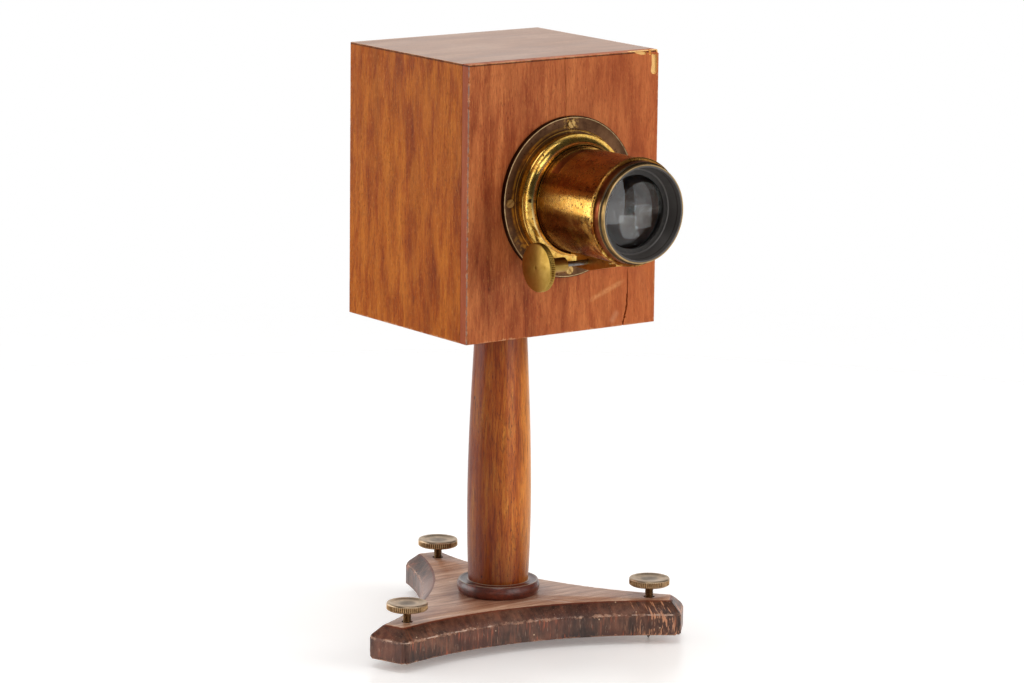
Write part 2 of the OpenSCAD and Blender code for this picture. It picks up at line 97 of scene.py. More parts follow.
RAW_WOOD = (238, 190, 118)
DARK_LINE = (40, 18, 10)
PALE_WEAR = (214, 158, 112)
CHAMBER_BLACK = (26, 21, 19)
PIT_BROWN = (52, 24, 8)
RUBBED_BRASS = (206, 150, 66)


def rgba(colour):
    """A colour as linear RGBA. A node's socket is passed through."""
    if isinstance(colour, bpy.types.NodeSocket):
        return colour
    return tuple((c / 255) ** 2.2 for c in colour) + (1.0,)


def triple(size):
    return size if isinstance(size, tuple) else (size,) * 3


class Nodes:
    """Adds nodes to a tree. A value is a number, a vector or another node's socket."""

    def __init__(self, tree):
        self.tree = tree
        tree.nodes.clear()

    def node(self, kind, *inputs, **properties):
        made = self.tree.nodes.new(kind)
        for key, value in properties.items():
            setattr(made, key, value)
        for socket, value in zip(made.inputs, inputs):
            self.plug(socket, value)
        return made

    def plug(self, socket, value):
        if isinstance(value, bpy.types.NodeSocket):
            self.tree.links.new(value, socket)
        elif value is not None:
            socket.default_value = value

    def math(self, operation, a, b=None):
        return self.node("ShaderNodeMath", a, b, operation=operation).outputs[0]

    def step(self, value, low, high, out_low=0.0, out_high=1.0):
        """value stretched from low..high to out_low..out_high, and held there."""
        return self.node("ShaderNodeMapRange", value, low, high, out_low, out_high).outputs[0]

    def fall(self, value, low, high, rest=0.0):
        """1 up to low, falling to rest at high."""
        return self.step(value, low, high, 1.0, rest)

    def product(self, first, *factors):
        for factor in factors:
            first = self.math("MULTIPLY", first, factor)
        return first

    def total(self, *parts):
        """The sum of (weight, value) pairs."""
        result = 0.0
        for weight, value in parts:
            result = self.math("ADD", self.math("MULTIPLY", value, weight), result)
        return result


class Look(Nodes):
    """One material: a tint, a roughness and a relief for a Principled shader."""

    def __init__(self, name, **fixed):
        self.material = bpy.data.materials.new(name)
        self.material.use_nodes = True
        super().__init__(self.material.node_tree)
        self.shader = self.node("ShaderNodeBsdfPrincipled")
        self.node("ShaderNodeOutputMaterial", self.shader.outputs[0])
        coordinates = self.node("ShaderNodeTexCoord").outputs["Object"]
        self.place = self.vector("MULTIPLY", coordinates, triple(1 / MM))
        self.x, self.y, self.z = self.node("ShaderNodeSeparateXYZ", self.place).outputs
        self.seed = 0
        self.relief = []
        for key, value in fixed.items():
            self.shader.inputs[key.replace("_", " ")].default_value = value

    def vector(self, operation, a, b):
        return self.node("ShaderNodeVectorMath", a, b, operation=operation).outputs["Vector"]

    def noise(self, size, gain=None, detail=2.0, rough=0.5, warp=0.0, place=None):
        """Noise with features of that size. With gain (low, high), stretched to 0..1."""
        self.seed += 1
        scaled = self.vector("DIVIDE", place or self.place, triple(size))
        moved = self.vector("ADD", scaled, (self.seed * 7.3, self.seed * 3.1, self.seed * 5.7))
        made = self.node("ShaderNodeTexNoise", moved)
        settings = {"Scale": 1.0, "Detail": detail, "Roughness": rough, "Distortion": warp}
        for key, value in settings.items():
            made.inputs[key].default_value = value
        return self.step(made.outputs["Fac"], *gain) if gain else made.outputs["Fac"]

    def spots(self, size, radius, share, soft):
        """Round spots on a grid of that size. share is how many of them show."""
        self.seed += 1
        scaled = self.vector("DIVIDE", self.place, triple(size))
        moved = self.vector("ADD", scaled, (self.seed * 4.7, self.seed * 2.9, self.seed * 8.3))
        made = self.node("ShaderNodeTexVoronoi", moved)
        made.inputs["Scale"].default_value = 1.0
        chance = self.node("ShaderNodeSeparateXYZ", made.outputs["Color"]).outputs[0]
        disc = self.fall(made.outputs["Distance"], radius * (1 - soft), radius)
        return self.product(disc, self.math("LESS_THAN", chance, share))

    def lines(self, coordinate, pitch):
        """Fine lines that repeat along one coordinate."""
        along = self.node("ShaderNodeCombineXYZ", coordinate, 0.0, 0.0).outputs[0]
        return self.noise(pitch, (0.3, 0.7), rough=0.6, place=along)

    def ramp(self, value, *stops):
        made = self.node("ShaderNodeValToRGB", value)
        elements = made.color_ramp.elements
        while len(elements) < len(stops):
            elements.new(0.5)
        for element, (position, colour) in zip(elements, stops):
            element.position = position
            element.color = rgba(colour)
        return made.outputs[0]

    def mix(self, share, a, b):
        made = self.node("ShaderNodeMix", data_type="RGBA")
        sockets = {socket.identifier: socket for socket in made.inputs}
        self.plug(sockets["Factor_Float"], share)
        self.plug(sockets["A_Color"], rgba(a))
        self.plug(sockets["B_Color"], rgba(b))
        return next(socket for socket in made.outputs if socket.identifier == "Result_Color")

    def paint(self, colour, *shares):
        """Lays a colour over the tint. How much of it shows is the product of the shares."""
        self.tint = self.mix(self.product(*shares), self.tint, colour)

    def inverse(self, share):
        return self.math("SUBTRACT", 1.0, share)

    def either(self, a, b):
        return self.math("MAXIMUM", a, b)

    def away(self, value, at):
        return self.math("ABSOLUTE", self.math("SUBTRACT", value, at))

    def near(self, value, at, width, soft=0.5):
        """1 where value is within width of at."""
        return self.fall(self.away(value, at), width * (1 - soft), width)

    def above(self, value, at, soft):
        return self.step(value, at - soft, at + soft)

    def stroke(self, a, b, start, end, width, soft):
        """1 along a straight stroke in the plane of the coordinates a and b."""
        run = Vector(end) - Vector(start)
        length = run.length
        run.normalize()
        da, db = self.math("SUBTRACT", a, start[0]), self.math("SUBTRACT", b, start[1])
        along = self.total((run[0], da), (run[1], db))
        across = self.total((run[1], da), (-run[0], db))
        ends = self.step(along, 0, length * 0.2), self.fall(along, length * 0.8, length)
        return self.product(self.near(across, 0, width, soft), *ends)

    def radius(self, first, second, centre):
        """Distance from an axis, from the two coordinates across it."""
        da, db = self.math("SUBTRACT", first, centre[0]), self.math("SUBTRACT", second, centre[1])
        return self.math("SQRT", self.math("ADD", self.product(da, da), self.product(db, db)))

    def off_lens_axis(self):
        return self.radius(self.x, self.z, (LENS_X, LENS_Z))

    def finish(self, roughness):
        """Wires up the tint, the roughness and the relief, a list of (millimetres, value) pairs."""
        self.plug(self.shader.inputs["Base Color"], self.tint)
        self.plug(self.shader.inputs["Roughness"], roughness)
        if self.relief:
            bump = self.node("ShaderNodeBump")
            bump.inputs["Distance"].default_value = MM
            self.plug(bump.inputs["Height"], self.total(*self.relief))
            self.plug(self.shader.inputs["Normal"], bump.outputs[0])
        return self.material


class Wood(Look):
    """Polished wood: broad figure, streaks and fibres along the grain, and open pores."""

    def __init__(self, name, grain, tones, figure=1.0, pores=1.0, seed=0, **fixed):
        super().__init__(name, **fixed)
        self.seed = seed * 20
        self.grain = grain
        dark, middle, light = tones
        broad = self.noise(self.stretched(10 * figure, 62), (0.32, 0.68), detail=3, warp=0.6)
        fine = self.stretched(2.2, 24)
        self.streaks = self.noise(fine, (0.3, 0.7), detail=3, rough=0.6, warp=0.2)
        fibres = self.noise(self.stretched(0.7, 9), (0.3, 0.7), detail=3, rough=0.65)
        self.mottle = self.noise(self.stretched(16, 34), (0.3, 0.7), warp=0.4)
        tone = self.total((0.36, broad), (0.24, self.streaks), (0.22, fibres), (0.18, self.mottle))
        self.tint = self.ramp(tone, (0.2, dark), (0.5, middle), (0.8, light))
        open_lines = self.step(self.noise(self.stretched(0.34, 2.6), detail=1), 0.6, 0.68)
        open_pores = self.product(open_lines, self.step(self.mottle, 0.0, 1.0, 0.35, 1.0))
        self.paint((52, 22, 12), open_pores, 0.42 * pores)
        self.relief = [(-0.05 * pores, open_pores), (0.02, fibres), (0.02, self.streaks)]

    def stretched(self, across, along):
        """A size for noise that is drawn out along the grain."""
        size = [across] * 3
        size[self.grain] = along
        return tuple(size)

    def polish(self, smoothest, roughest):
        smears = self.noise(self.stretched(30, 50), (0.3, 0.7), warp=0.4)
        dull = self.total((0.6, smears), (0.4, self.streaks))
        return self.finish(self.step(dull, 0, 1, smoothest, roughest))


def edge_wear(look, arrises, width):
    """1 in ragged patches along arrises. An arris is a tuple of the (coordinate, position) pairs
    of the faces that meet there."""
    ragged = look.noise(5, (0.42, 0.62), detail=4, rough=0.65)
    reach = look.product(look.noise(1.6, (0.3, 0.7), detail=3, rough=0.6), width)
    mask = 0.0
    for pairs in arrises:
        farthest = 0.0
        for coordinate, position in pairs:
            farthest = look.either(look.away(coordinate, position), farthest)
        mask = look.either(look.math("LESS_THAN", farthest, reach), mask)
    return look.product(mask, ragged)


def line_under_top_edge(look):
    """1 on a thin line just under the box's top edge."""
    return look.near(look.z, BOX_TOP - 0.7, 0.5)


def blacken_inside(look):
    """Paints what lies inside the box matt black, as a camera's inside is."""
    inside = look.fall(look.math("ABSOLUTE", look.x), INNER_HALF_W + 0.2, INNER_HALF_W + 0.4)
    for coordinate, (low, high) in ((look.y, INNER_Y), (look.z, INNER_Z)):
        past_low = look.step(coordinate, low - 0.4, low - 0.2)
        inside = look.product(inside, past_low, look.fall(coordinate, high + 0.2, high + 0.4))
    look.paint(CHAMBER_BLACK, inside, 0.96)


def upright_wood(name, seed, tones, specular):
    """A board of the box with its grain upright."""
    look = Wood(name, ALONG_Z, tones, pores=1.3, seed=seed, Specular_IOR_Level=specular)
    dark, _, light = tones
    bands = look.noise(look.stretched(8, 30), (0.42, 0.66), detail=3, rough=0.55, warp=0.5)
    look.paint(light, bands, 0.55)
    dusk = look.noise(look.stretched(9, 60), (0.5, 0.75), warp=0.4)
    look.paint(dark, dusk, 0.5)
    dashes = look.noise(look.stretched(0.75, 4.5), (0.56, 0.66), rough=0.6)
    look.paint((84, 36, 14), dashes, 0.34)
    glints = look.noise(look.stretched(0.8, 3), (0.58, 0.7), rough=0.6)
    look.paint((216, 146, 78), glints, 0.26)
    stains = look.spots((15, 15, 24), radius=0.16, share=0.3, soft=0.9)
    look.paint((66, 34, 18), stains, 0.5)
    specks = look.spots((6, 6, 8), radius=0.06, share=0.3, soft=0.5)
    look.paint((50, 22, 10), specks, 0.7)
    return look


def side_wood():
    look = upright_wood("side_wood", 1, ((122, 52, 10), (158, 76, 18), (194, 112, 38)), 0.05)
    for side in (-BOX_HALF_W, BOX_HALF_W):
        rims = ((look.z, BOX_TOP), (look.z, BOX_Z), (look.y, BACK_Y))
        look.paint(PALE_WEAR, edge_wear(look, [(rim, (look.x, side)) for rim in rims], 1.2), 0.7)
    look.paint(DARK_LINE, line_under_top_edge(look), 0.7)
    blacken_inside(look)
    return look.polish(0.4, 0.5)


def front_wood_with_painted_sheen():
    # painted sheen: the front's tones are pinker than the side's, a painted sheen of the white
    # backdrop mixed into the wood's colour
    look = upright_wood("front_wood_with_painted_sheen", 2, ((118, 50, 24), (164, 84, 46), (204, 120, 68)), 0.12)
    # painted light: lighter and redder towards the right, where the light comes from
    redder = look.step(look.x, -60, 60)
    look.paint((194, 98, 52), redder, 0.35)
    left_end = look.fall(look.x, -BOX_HALF_W + 0.2, -BOX_HALF_W + 0.5)
    look.paint((146, 62, 20), left_end, 0.75)
    rims = ((look.z, BOX_TOP), (look.z, BOX_Z), (look.x, BOX_HALF_W), (look.x, -BOX_HALF_W))
    look.paint(PALE_WEAR, edge_wear(look, [(rim, (look.y, FRONT_Y)) for rim in rims], 1.3), 0.7)
    # painted sheen: a greyish pale line down the front's left arris, broken up by noise
    arris = (look.near(look.x, -BOX_HALF_W, 0.6, 0.4), look.near(look.y, FRONT_Y, 0.6, 0.4))
    look.paint((150, 122, 108), *arris, look.noise(3, (0.4, 0.55), detail=4, rough=0.6))
    look.paint(DARK_LINE, line_under_top_edge(look), 0.75)
    # a pale scratch below the lens, a rub on the lower edge, and raw wood where splinters came off
    scratch = look.stroke(look.x, look.z, (17, 189.6), (43, 199.4), width=1.9, soft=0.8)
    look.paint((212, 142, 88), scratch, look.noise(2.2, (0.2, 0.7), detail=3, rough=0.6))
    rub = look.stroke(look.x, look.z, (33, 176), (38, 183), width=2.6, soft=0.9)
    look.paint((210, 150, 110), rub, 0.35)
    below_face = look.above(look.y, FRONT_Y + 0.12, 0.06)
    corner = (look.above(look.z, 309, 0.2), look.above(look.x, 43, 0.5))
    look.paint(RAW_WOOD, below_face, *corner, look.fall(look.y, FRONT_Y + 2.2, FRONT_Y + 2.6))
    blacken_inside(look)
    return look.polish(0.4, 0.52)


def top_wood():
    # painted sheen: the top's pale grey-brown tones mix a painted sheen of the white backdrop,
    # which it mirrors at a grazing angle, into the wood's colour
    tones = ((148, 104, 76), (164, 118, 88), (182, 140, 110))
    look = Wood(
        "top_wood", ALONG_X, tones, seed=3,
        Specular_IOR_Level=0.6, Coat_Weight=0.5, Coat_Roughness=0.32,
    )
    rims = ((look.x, -BOX_HALF_W), (look.x, BOX_HALF_W), (look.y, FRONT_Y), (look.y, BACK_Y))
    # painted highlight: a pale band along each edge of the top, where the arris catches the light
    for coordinate, position in rims:
        look.paint((226, 200, 176), look.near(coordinate, position, 0.9, 0.4), 0.5)
    arrises = [(rim, (look.z, BOX_TOP)) for rim in rims]
    look.paint((226, 190, 156), edge_wear(look, arrises, 1.6), 0.6)
    side_tones = ((0.2, (122, 52, 14)), (0.5, (158, 78, 26)), (0.8, (190, 112, 46)))
    below_top = look.fall(look.z, BOX_TOP - 0.6, BOX_TOP - 0.4)
    look.paint(look.ramp(look.streaks, *side_tones), below_top)
    blacken_inside(look)
    return look.polish(0.4, 0.56)


def column_wood():
    tones = ((124, 48, 12), (184, 94, 30), (224, 140, 54))
    look = Wood(
        "column_wood", ALONG_Z, tones, figure=0.5, pores=1.7, seed=4,
        Specular_IOR_Level=0.16, Coat_Weight=0.2, Coat_Roughness=0.2,
    )
    # painted light: the right side painted lighter orange, where the light falls
    look.paint((252, 172, 84), look.step(look.x, 0, 15), 0.7)
    # painted shadow: darker near the top, where the box's shadow falls; also darker towards the
    # foot
    foot = look.fall(look.z, BASE_T + 12, BASE_T + 46)
    head = look.step(look.z, BOX_Z - 34, BOX_Z - 4)
    look.paint((94, 28, 12), look.either(foot, head), 0.62)
    # painted shade: the left side painted darker
    look.paint((88, 30, 12), look.fall(look.x, -16, -5), 0.62)
    long_streaks = look.noise((0.8, 0.8, 12), (0.54, 0.66), detail=3, rough=0.65, warp=0.1)
    look.paint((70, 26, 10), long_streaks, 0.55)
    dents = look.spots((9, 9, 16), radius=0.09, share=0.3, soft=0.4)
    look.paint((38, 14, 8), dents, 0.8)
    look.relief.append((-0.1, dents))
    return look.polish(0.3, 0.44)


def ring_wood():
    look = Wood(
        "ring_wood", ALONG_X, ((46, 20, 14), (86, 38, 26), (124, 56, 36)), seed=5,
        Specular_IOR_Level=0.4, Coat_Weight=0.4, Coat_Roughness=0.24,
    )
    look.paint((146, 122, 100), look.above(look.z, BASE_T + RING_H - 0.2, 0.1), 0.9)
    look.paint((120, 48, 28), look.noise(4, (0.56, 0.66), detail=4, rough=0.6), 0.5)
    return look.polish(0.26, 0.44)


def base_wood():
    tones = ((138, 90, 66), (188, 142, 114), (226, 192, 164))
    look = Wood(
        "base_wood", ALONG_X, tones, figure=0.7, pores=0.9, seed=6,
        Specular_IOR_Level=0.3, Coat_Weight=0.22, Coat_Roughness=0.3,
    )
    # the sides are stained dark, redder in places
    sides = look.fall(look.z, BASE_T - 0.35, BASE_T - 0.15)
    blotches = look.noise((3, 3, 12), (0.3, 0.7), detail=4, rough=0.6)
    stain = look.total((0.5, look.mottle), (0.5, blotches))
    stain_tones = ((0.2, (52, 36, 30)), (0.5, (80, 54, 43)), (0.85, (118, 78, 60)))
    look.paint(look.ramp(stain, *stain_tones), sides)
    look.paint((112, 54, 36), look.noise(30, (0.45, 0.65), warp=0.3), sides, 0.35)
    # pale upright streaks near the end of the right arm, and red scuffs along the wall
    right_arm = (look.step(look.x, 40, 56), look.fall(look.x, 80, 88, 0.1))
    upright = look.node("ShaderNodeCombineXYZ", look.x, 0.0, look.z).outputs[0]
    streaks = look.noise((1, 1, 6), (0.54, 0.6), rough=0.6, place=upright)
    groups = look.noise((4, 1, 50), (0.42, 0.5), place=upright)
    look.paint((206, 142, 104), streaks, groups, *right_arm, sides, 0.9)
    patches = look.noise(14, (0.4, 0.6), warp=0.3)
    scuffs = look.noise((1.3, 1, 14), (0.56, 0.68), rough=0.6, place=upright)
    wall = look.fall(look.z, SHOULDER_Z - 0.5, SHOULDER_Z + 0.5, 0.3)
    look.paint((180, 92, 60), scuffs, patches, wall, sides, 0.7)
    fine = look.noise((0.6, 0.6, 6), (0.64, 0.72), rough=0.6)
    look.paint((180, 146, 122), fine, sides, 0.5)
    # painted reflection: the side of the back arm, which faces the backdrop at a grazing angle,
    # painted paler
    back_arm_reflection = (look.step(look.y, 14, 30), look.fall(look.x, -14, -4))
    look.paint((196, 150, 134), *back_arm_reflection, sides, 0.4)
    # wear on the edges
    worn = edge_wear(look, [((look.z, SHOULDER_Z),), ((look.z, 0.0),)], 1.3)
    look.paint((196, 146, 116), worn, 0.6)
    shoulder = look.near(look.z, SHOULDER_Z, 0.4, 0.6)
    look.paint((200, 170, 150), shoulder, look.noise(5, (0.5, 0.6), detail=4, rough=0.65))
    look.paint((120, 52, 32), look.near(look.z, BASE_T - 0.3, 0.5, 0.4), sides, 0.6)
    dots = look.spots(6, radius=0.09, share=0.35, soft=0.4)
    look.paint((212, 176, 140), dots, sides, 0.8)
    # the top is painted darker round the foot ring, and has pale scratches
    near_ring = look.fall(look.radius(look.x, look.y, (0, 0)), 22, 34)
    look.paint((98, 38, 24), near_ring, 0.5)
    scratches = look.noise((14, 0.5, 8), (0.62, 0.7), rough=0.6, warp=0.6)
    look.paint((206, 178, 156), scratches, look.inverse(sides), 0.35)
    return look.polish(0.36, 0.48)


class Brass(Look):
    """Brass: tarnish in clouds, turning lines along an axis, and small pits."""

    def __init__(self, name, bright, dull, axis="y", line_depth=0.004, pitting=0.5, **fixed):
        super().__init__(name, Metallic=1.0, **fixed)
        self.clouds = self.noise(7, (0.32, 0.68), detail=4, rough=0.6, warp=0.4)
        haze = self.noise(2.2, (0.3, 0.7), detail=4, rough=0.65)
        self.tarnish = self.total((0.6, self.clouds), (0.4, haze))
        self.tint = self.mix(self.tarnish, bright, dull)
        patches = self.noise(6, (0.42, 0.6), detail=3)
        small = self.spots(1.5, radius=0.3, share=0.4, soft=0.5)
        large = self.spots(3.6, radius=0.2, share=0.22, soft=0.4)
        pits = self.product(self.either(self.product(small, patches), large), pitting)
        self.paint(PIT_BROWN, pits)
        self.relief = [(line_depth, self.lines(getattr(self, axis), 0.22)), (-0.02, pits)]

    def turned(self, axis, stretch=0.8):
        """Stretches the highlights across the turning lines."""
        tangent = self.node("ShaderNodeTangent", direction_type="RADIAL", axis=axis)
        self.plug(self.shader.inputs["Tangent"], tangent.outputs[0])
        self.shader.inputs["Anisotropic"].default_value = stretch
        self.shader.inputs["Anisotropic Rotation"].default_value = 0.25

    def polish(self, smoothest, roughest):
        return self.finish(self.step(self.tarnish, 0, 1, smoothest, roughest))


def jacket_brass():
    look = Brass("lacquered_brass", (255, 220, 124), (216, 156, 64), pitting=1.0)
    grain = look.noise(1.3, (0.4, 0.6), detail=3, rough=0.6)
    look.paint((176, 112, 34), grain, 0.36)
    off_axis = look.off_lens_axis()
    on_barrel = look.fall(off_axis, 29.5, 29.8)
    barrel = look.product(on_barrel, look.fall(look.y, COLLAR_FRONT, COLLAR_FRONT + 2))
    collar = look.inverse(barrel)
    brown = look.noise((16, 30, 10), (0.42, 0.62), detail=3, warp=0.3)
    look.paint((140, 72, 26), brown, barrel, 0.4)
    # painted shade: the barrel darker underneath, left off in noisy patches near its front
    under = look.fall(look.z, LENS_Z - 4, LENS_Z + 1)
    unshaded_patches = look.noise(9, (0.45, 0.62), detail=4, rough=0.6, warp=0.4)
    front = look.fall(look.y, FRONT_Y - 58, FRONT_Y - 34, 0.1)
    painted_shade_share = look.inverse(look.product(unshaded_patches, front, 0.9))
    look.paint((104, 48, 14), barrel, under, painted_shade_share, 0.92)
    # a painted dark reflection over the barrel's top, in clouds, and specks that thicken towards
    # the front
    top_reflection_clouds = look.noise((8, 12, 6), (0.5, 0.7), detail=4, rough=0.6, warp=0.5)
    over = look.step(look.z, LENS_Z + 10, LENS_Z + 12)
    look.paint((112, 52, 26), barrel, over, look.step(top_reflection_clouds, 0, 1, 0.55, 0.85))
    dense = look.fall(look.y, FRONT_Y - 60, FRONT_Y - 25, 0.4)
    specks = look.noise(1.5, (0.59, 0.62), rough=0.65)
    look.paint((44, 20, 6), specks, look.noise(6, (0.35, 0.5)), dense, 0.95)
    # a dark spot on the collar, a painted highlight along its lip, and painted shade in the gap
    # inside it
    spot = look.fall(look.radius(look.x, look.z, (LENS_X - 30.5, LENS_Z + 1.5)), 0.9, 1.5)
    look.paint((30, 14, 6), spot, collar, 0.95)
    look.paint((255, 232, 160), look.near(off_axis, 30.1, 0.4), collar, 0.7)
    gap = look.near(off_axis, 29.2, 0.5, 0.4)
    look.paint((26, 12, 6), gap, look.near(look.y, COLLAR_FRONT - 0.2, 0.6))
    # the edges of the opening in the barrel's top are painted bright
    on_top = look.step(look.z, LENS_Z + 15, LENS_Z + 18)
    for u in SLOT_U:
        look.paint((232, 182, 96), look.near(look.y, FRONT_Y - u, 0.35, 0.2), on_top)
    look.turned("Y", 0.85)
    bright = look.product(look.step(look.clouds, 0, 1, 0.15, 0.26), collar)
    satin = look.product(look.step(look.clouds, 0, 1, 0.22, 0.3), barrel)
    return look.finish(look.math("ADD", bright, satin))


def flange_brass():
    look = Brass(
        "bronzed_brass", (118, 86, 62), (78, 54, 40), line_depth=0.002, pitting=0.8,
        Specular_IOR_Level=0.4,
    )
    off_axis = look.off_lens_axis()
    ragged = look.noise(5, (0.35, 0.65), detail=4, rough=0.6)
    rim = look.near(off_axis, FLANGE_R - 0.7, 0.25, 0.4)
    look.paint((222, 190, 140), rim, look.step(ragged, 0.0, 0.5, 0.3, 1.0), 0.8)
    # painted shade, partly the dark bronzing: the outer edge and side wall painted near black
    look.paint((46, 30, 20), look.above(off_axis, FLANGE_R - 0.35, 0.08), 0.8)
    step = look.near(off_axis, STEP_R + 0.1, 0.45, 0.4)
    look.paint((216, 166, 82), step, look.step(ragged, 0.2, 0.6, 0.25, 1.0))
    # rubbed to brass in an arc on the left, most of all low down
    left = look.fall(look.x, LENS_X - 30, LENS_X + 6)
    arc = look.near(off_axis, 38.0, 1.0, 0.8)
    look.paint(RUBBED_BRASS, arc, left, look.step(ragged, 0.2, 0.8, 0.1, 0.85))
    low = look.fall(look.z, LENS_Z - 32, LENS_Z - 10)
    patchy = look.noise(2.2, (0.48, 0.58), detail=4, rough=0.65)
    look.paint(RUBBED_BRASS, low, left, look.near(off_axis, 38.5, 4.5, 0.7), patchy, 0.9)
    # scratched round the top screw
    around = (look.near(look.x, LENS_X, 5.5, 0.6), look.above(look.z, LENS_Z + 35, 1.5))
    look.paint((214, 164, 88), *around, look.noise(1.5, (0.5, 0.58), detail=3, rough=0.6), 0.9)
    return look.polish(0.34, 0.5)


def knob_brass():
    look = Brass("satin_brass", (190, 156, 82), (158, 122, 52), "x", 0.0015, pitting=0.35)
    off_shaft = look.radius(look.y, look.z, KNOB_PLACE.yz)
    look.relief.append((0.004, look.lines(off_shaft, 0.3)))
    behind_rim = look.step(look.x, LENS_X - 33.4, LENS_X - 33.0)
    look.paint((150, 118, 70), behind_rim, 0.4)
    grooves = (look.above(off_shaft, KNOB_R - 1, 0.1), look.fall(off_shaft, 12.85, 13.1))
    behind_face = look.step(look.x, LENS_X - 36.7, LENS_X - 36.5)
    look.paint((84, 60, 26), *grooves, behind_face, 0.8)
    look.turned("X", 0.3)
    return look.polish(0.36, 0.46)


def levelling_screw_brass():
    look = Brass("dull_brass", (212, 174, 132), (158, 122, 84), "z", pitting=0.7)
    look.paint((98, 72, 44), look.noise(3, (0.5, 0.66), detail=4, rough=0.6), 0.45)
    look.paint((74, 58, 36), look.fall(look.z, HEAD_Z - 0.4, HEAD_Z + 0.1), 0.7)
    # painted reflection: the head's top painted paler, for the pale backdrop it mirrors
    look.paint((224, 206, 180), look.above(look.z, HEAD_TOP - 1, 0.1), 0.45)
    off_axis = 1000.0
    for number in (1, 2, 3):
        distance = look.radius(look.x, look.y, screw_place(number))
        off_axis = look.math("MINIMUM", distance, off_axis)
    grooves = look.fall(off_axis, HEAD_R - 0.3, HEAD_R - 0.08)
    flank = look.near(look.z, BASE_T + 8.7, 1.6, 0.1)
    look.paint((58, 42, 24), grooves, flank, 0.75)
    return look.polish(0.32, 0.48)


def cell_brass():
    """Brass outside and dull black inside."""
    look = Brass("aged_brass", (190, 154, 96), (118, 90, 54), pitting=0.6)
    off_axis = look.off_lens_axis()
    inside = look.fall(off_axis, 25.6, 25.75)
    look.paint((86, 82, 79), inside)
    look.plug(look.shader.inputs["Metallic"], look.fall(inside, 0, 1, 0.35))
    look.paint((58, 50, 46), look.near(look.y, FRONT_Y - 65.1, 0.45, 0.3), 0.9)
    lip = (look.near(off_axis, 26.1, 0.3, 0.4), look.fall(look.y, FRONT_Y - 66, FRONT_Y - 65))
    look.paint((220, 192, 144), *lip, 0.5)
    look.turned("Y")
    return look.polish(0.3, 0.44)


def red_lacquer():
    # the inner tube's red-brown colour
    look = Brass("red_lacquer", (150, 84, 52), (104, 52, 32), line_depth=0.003, pitting=0.3)
    look.turned("Y")
    return look.polish(0.32, 0.46)


def housing_brass():
    look = Brass("housing_brass", (232, 184, 100), (160, 104, 48), pitting=0.7)
    # painted highlight: lighter patches over the housing, for the bright golden strip of light
    # along its underside
    look.paint((212, 164, 84), look.noise(5, (0.5, 0.62), detail=4, rough=0.6), 0.6)
    return look.polish(0.3, 0.46)


def blackened():
    look = Look("blackened_brass", Metallic=0.2, Specular_IOR_Level=0.4)
    dust = look.noise(1.4, (0.5, 0.75), detail=4, rough=0.65)
    look.tint = look.mix(look.product(dust, 0.4), (52, 49, 47), (110, 100, 90))
    look.relief = [(0.01, look.noise(0.4, detail=3, rough=0.6))]
    return look.finish(look.step(dust, 0, 1, 0.45, 0.62))


def steel():
    look = Look("steel", Metallic=1.0)
    rust = look.noise(2.5, (0.5, 0.7), detail=4, rough=0.62)
    look.tint = look.mix(rust, (120, 118, 116), (84, 60, 44))
    look.relief = [(0.006, look.noise(0.3, detail=3, rough=0.6))]
    return look.finish(look.step(rust, 0, 1, 0.3, 0.6))


def lens_glass(name, index):
    look = Look(name, Transmission_Weight=1.0, IOR=index)
    dust = look.noise(9, (0.45, 0.75), detail=4, rough=0.6)
    look.tint = look.mix(dust, (244, 244, 242), (226, 226, 222))
    return look.finish(0.0)


def ground_glass():
    look = Look("ground_glass", Transmission_Weight=0.85, IOR=1.5)
    specks = look.noise(0.5, (0.3, 0.7), detail=3, rough=0.7)
    look.tint = look.mix(specks, (196, 204, 200), (216, 222, 218))
    look.relief = [(0.01, specks)]
    return look.finish(look.step(specks, 0, 1, 0.5, 0.7))


def floor_paper():
    """White paper that fades out into the backdrop."""
    look = Look(
        "floor_paper", Specular_IOR_Level=0.5, Emission_Color=WHITE, Emission_Strength=0.16
    )
    tone = look.noise(90, (0.3, 0.7), detail=3)
    look.tint = look.mix(tone, (250, 248, 245), (252, 251, 249))
    away = look.radius(look.x, look.y, (0, 0))
    look.plug(look.shader.inputs["Alpha"], look.fall(away, 200, 1000))
    return look.finish(look.step(tone, 0, 1, 0.3, 0.36))


# ---- Shapes ----


def publish(name, bm, material, body, sharp, nodes=()):
    """Turns a bmesh in millimetres into a piece that rides on a body and stands for CAD nodes.
    Edges sharper than that many degrees stay sharp."""
    bmesh.ops.transform(bm, matrix=Matrix.Scale(MM, 4), verts=bm.verts)
    bmesh.ops.recalc_face_normals(bm, faces=bm.faces)
    mesh = bpy.data.meshes.new(name)
    bm.to_mesh(mesh)
    bm.free()
    mesh.shade_smooth()
    mesh.set_sharp_from_angle(angle=math.radians(sharp))
    mesh.materials.append(material)
    piece = bpy.data.objects.new(name, mesh)
    bpy.context.collection.objects.link(piece)
    if nodes:
        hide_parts(*nodes)
    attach(piece, body)
    return piece


def cad_shape(node):
    """The CAD node's shape as a bmesh in millimetres, with spare points and edges cleared."""
    bm = bmesh.new()
    bm.from_mesh(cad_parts[node].data)
    bmesh.ops.transform(bm, matrix=Matrix.Scale(1 / MM, 4), verts=bm.verts)
    bmesh.ops.remove_doubles(bm, verts=bm.verts, dist=0.001)
    flat = math.radians(0.4)
    bmesh.ops.dissolve_limit(bm, angle_limit=flat, verts=bm.verts, edges=bm.edges)
    return bm


